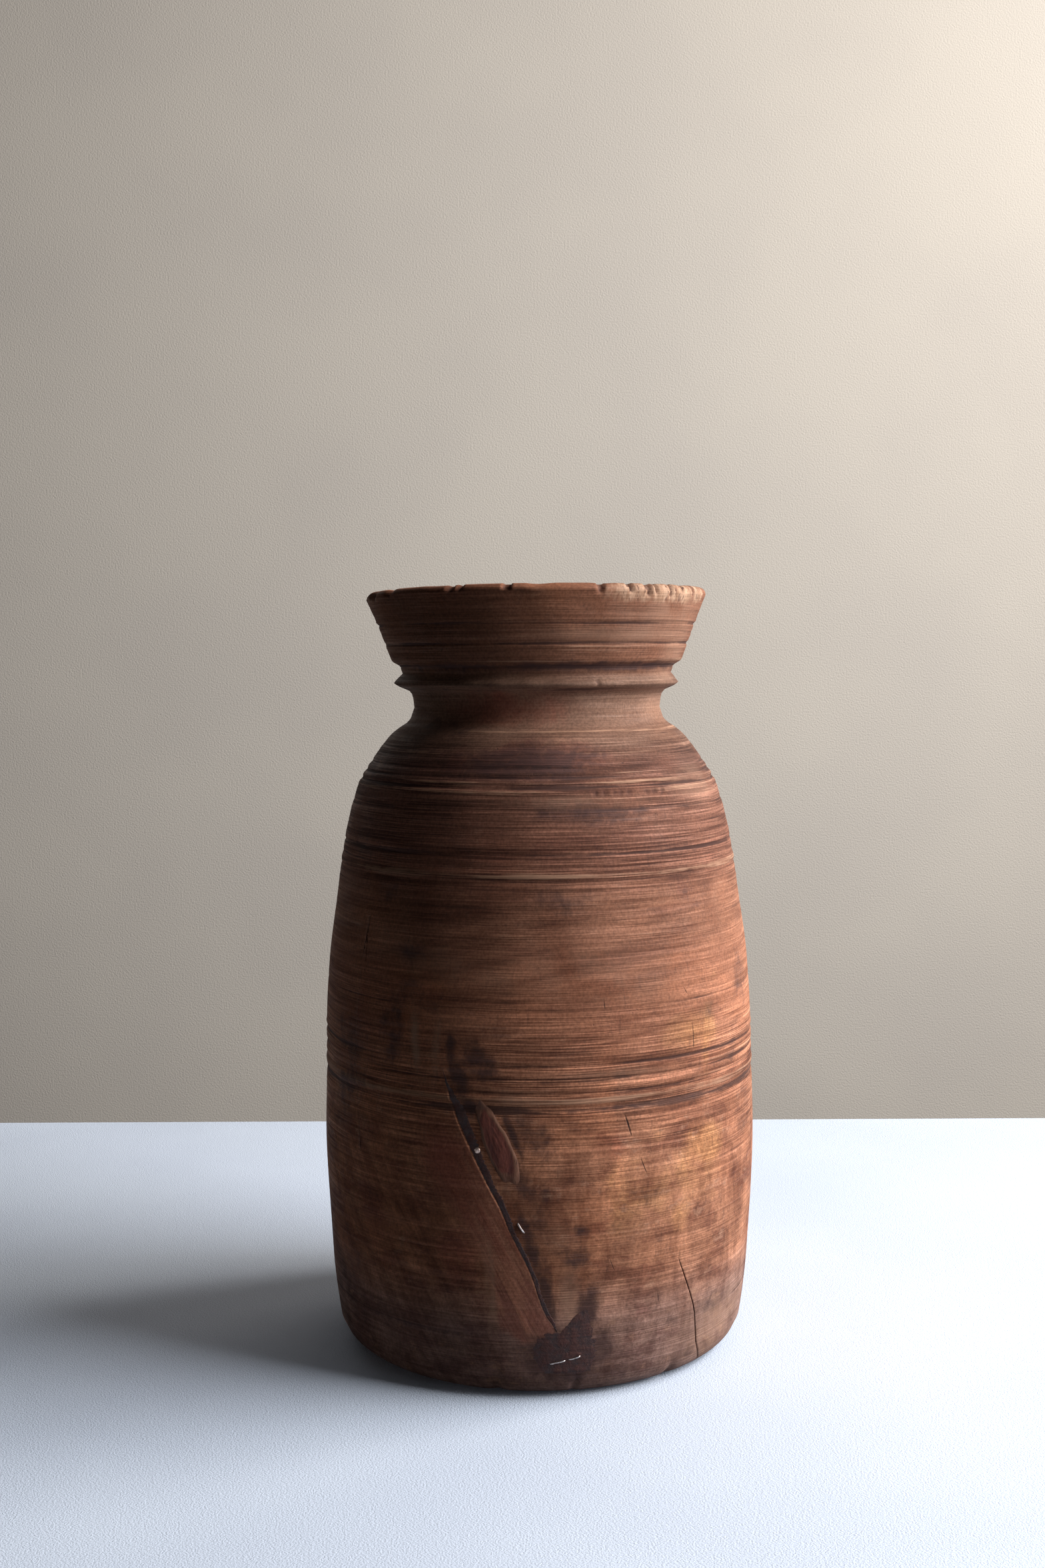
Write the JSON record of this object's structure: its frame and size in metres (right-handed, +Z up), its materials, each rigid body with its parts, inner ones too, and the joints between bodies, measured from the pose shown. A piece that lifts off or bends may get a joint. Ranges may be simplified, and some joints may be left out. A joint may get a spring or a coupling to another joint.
{
  "type": "turned wooden pot",
  "caption": "Tall lathe-turned wooden pot with a flared mouth, beaded neck, grooved belly and rounded foot, its split filled with dark pitch round a knot and held by wire staples.",
  "frame": {"origin": "centre of the foot, on the surface the pot stands on", "axes": "+Z up along the turning axis, -Y towards the side with the filled split, +X to that side's right"},
  "size_m": [0.1728, 0.1728, 0.3],
  "materials": {
    "body_wood": "dry worn brown wood with fine turning lines, dark stains and paler worn ridges",
    "pitch": "hard dark pitch, dull with a few worn satin spots",
    "knot_wood": "dark red-brown knot wood",
    "wire": "thin round wire, worn bright on top and dull beside it",
    "nail": "small round nail head, dull"
  },
  "bodies": {
    "root": {"turned_body": "body_wood", "split_pitch": "pitch", "knot_plug": "knot_wood", "foot_staple": "wire", "seam_staple": "wire", "seam_nail": "nail"}
  },
  "joints": []
}
